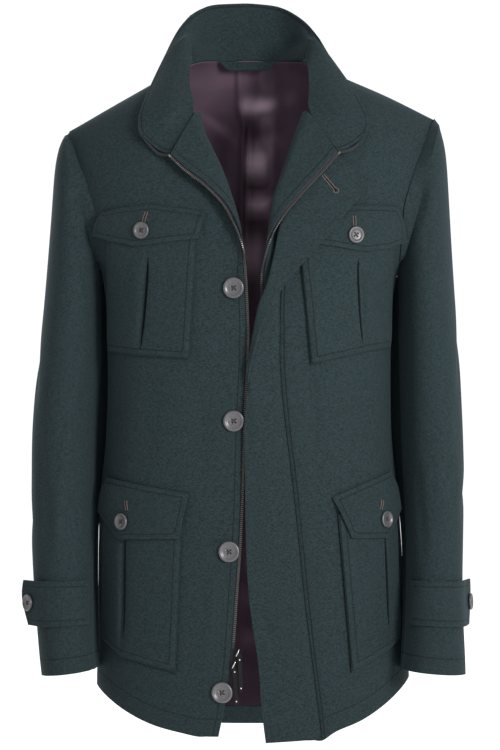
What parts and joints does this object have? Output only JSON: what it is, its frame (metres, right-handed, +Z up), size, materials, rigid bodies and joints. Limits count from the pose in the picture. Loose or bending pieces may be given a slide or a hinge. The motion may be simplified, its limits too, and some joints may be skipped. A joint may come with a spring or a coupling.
{
  "type": "field jacket",
  "caption": "Wool field jacket worn open over no wearer: stand collar, storm flap over a zip, bellows patch pockets with buttoned flaps, strapped cuffs, curved hem.",
  "frame": {"origin": "between the wearer's shoulders, on the plane of the shoulder seams, level with the seam 116 mm out from the neck's centre on the wearer's right", "axes": "+Z up, the fronts face -Y, the wearer's left is +X"},
  "size_m": [0.5447, 0.2933, 0.899],
  "materials": {
    "wool": "felted wool flannel, matt",
    "satin": "satin lining, soft sheen",
    "horn": "polished grey horn",
    "gunmetal": "dull metal",
    "tape": "woven zip tape with metal teeth",
    "black": "matt black"
  },
  "bodies": {
    "jacket": {"front_right": "wool", "front_left": "wool", "facing_right": "wool", "facing_left": "wool", "back_right": "wool", "back_left": "wool", "back_hem_right": "wool", "back_hem_left": "wool", "sleeve_upper_right": "wool", "sleeve_upper_left": "wool", "sleeve_under_right": "wool", "sleeve_under_left": "wool", "storm_flap": "wool", "collar": "wool", "hanger_loop": "wool", "cuff_strap_right": "wool", "cuff_strap_left": "wool", "pocket_chest_right": "wool", "pocket_chest_left": "wool", "pocket_lower_right": "wool", "pocket_lower_left": "wool", "flap_chest_right": "wool", "flap_chest_left": "wool", "flap_lower_right": "wool", "flap_lower_left": "wool", "lining_back": "satin", "button_front_first": "horn", "button_front_second": "horn", "button_front_third": "horn", "button_front_fourth": "horn", "button_front_fifth": "horn", "button_chest_right": "horn", "button_chest_left": "horn", "button_lower_right": "horn", "button_lower_left": "horn", "button_cuff_right": "horn", "button_cuff_left": "horn", "zip_tape_right": "tape", "zip_tape_left": "tape", "zip_pin_box": "black", "zip_slider_upper": "gunmetal", "zip_slider_lower": "gunmetal"},
    "upper_pull": {"zip_pull_upper": "black"},
    "lower_pull": {"zip_pull_lower": "black"}
  },
  "joints": [
    {"name": "upper_pull_swing", "type": "hinge", "parent": "jacket", "child": "upper_pull", "pos_m": [-0.0104, -0.142, -0.683], "axis": [1, 0, 0], "range_deg": [-120, 0]},
    {"name": "lower_pull_swing", "type": "hinge", "parent": "jacket", "child": "lower_pull", "pos_m": [-0.0162, -0.1392, -0.697], "axis": [1, 0, 0], "range_deg": [-120, 0]}
  ]
}
